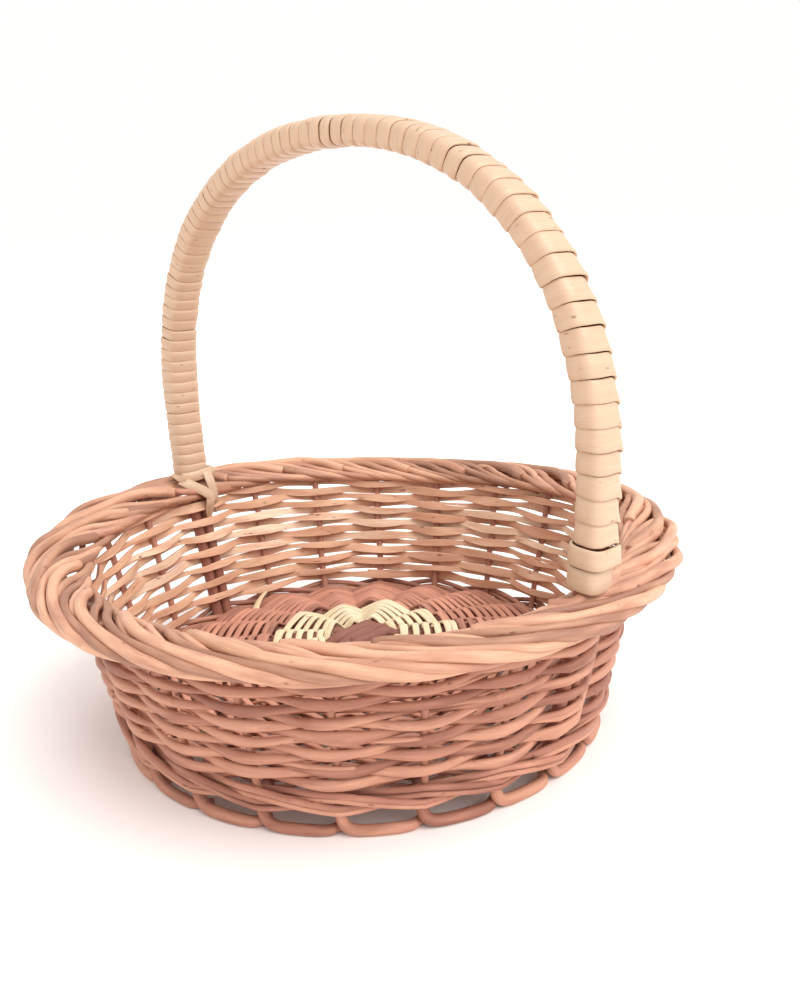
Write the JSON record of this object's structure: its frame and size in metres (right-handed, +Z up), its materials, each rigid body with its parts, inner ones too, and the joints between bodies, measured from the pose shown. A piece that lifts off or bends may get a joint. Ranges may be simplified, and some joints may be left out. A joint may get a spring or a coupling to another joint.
{
  "type": "wicker fruit basket",
  "caption": "Round open wicker basket with a flared woven wall, rolled rim border, raised woven base, foot border and a fixed cane-wrapped hoop handle.",
  "frame": {"origin": "middle of the bowl on the surface it stands on, under the middle of the foot border", "axes": "+Z up along the bowl's axis; the handle crosses the bowl along X, with its feet on the -X and +X sides"},
  "size_m": [0.288, 0.288, 0.267],
  "materials": {
    "bark_rod": "round willow rod, buffed pink-brown bark, satin",
    "split_willow": "split willow skein, pale flat inner face and pink-brown bark face, satin",
    "white_cane": "smooth cream split cane, semi-gloss",
    "dark_stick": "unpeeled dark brown stick, matt"
  },
  "bodies": {
    "root": {"stake_01": "bark_rod", "stake_02": "bark_rod", "stake_03": "bark_rod", "stake_04": "bark_rod", "stake_05": "bark_rod", "stake_06": "bark_rod", "stake_07": "bark_rod", "stake_08": "bark_rod", "stake_09": "bark_rod", "stake_10": "bark_rod", "stake_11": "bark_rod", "stake_12": "bark_rod", "stake_13": "bark_rod", "stake_14": "bark_rod", "stake_15": "bark_rod", "stake_16": "bark_rod", "stake_17": "bark_rod", "stake_18": "bark_rod", "stake_19": "bark_rod", "stake_20": "bark_rod", "weave_row_01": "split_willow", "weave_row_02": "split_willow", "weave_row_03": "split_willow", "weave_row_04": "split_willow", "weave_row_05": "split_willow", "weave_row_06": "split_willow", "weave_row_07": "split_willow", "weave_row_08": "split_willow", "weave_row_09": "split_willow", "weave_row_10": "split_willow", "weave_row_11": "split_willow", "weave_row_12": "split_willow", "weave_row_13": "split_willow", "weave_row_14": "split_willow", "weave_row_15": "split_willow", "wale_rod_1": "bark_rod", "wale_rod_2": "bark_rod", "wale_rod_3": "bark_rod", "foot_border": "bark_rod", "base_stick_1": "dark_stick", "base_stick_2": "dark_stick", "base_stick_3": "dark_stick", "base_stick_4": "dark_stick", "base_stick_5": "dark_stick", "base_stick_6": "dark_stick", "base_weave_cream_1": "white_cane", "base_weave_cream_2": "white_cane", "base_weave_brown_1": "split_willow", "base_weave_brown_2": "split_willow", "border_strand_1": "bark_rod", "border_strand_2": "bark_rod", "border_strand_3": "bark_rod", "border_strand_4": "bark_rod", "border_strand_5": "bark_rod", "handle_bow_rod_1": "dark_stick", "handle_liner_rod_1": "dark_stick", "handle_bow_rod_2": "dark_stick", "handle_liner_rod_2": "dark_stick", "handle_wrap": "white_cane", "handle_tie": "white_cane"}
  },
  "joints": []
}
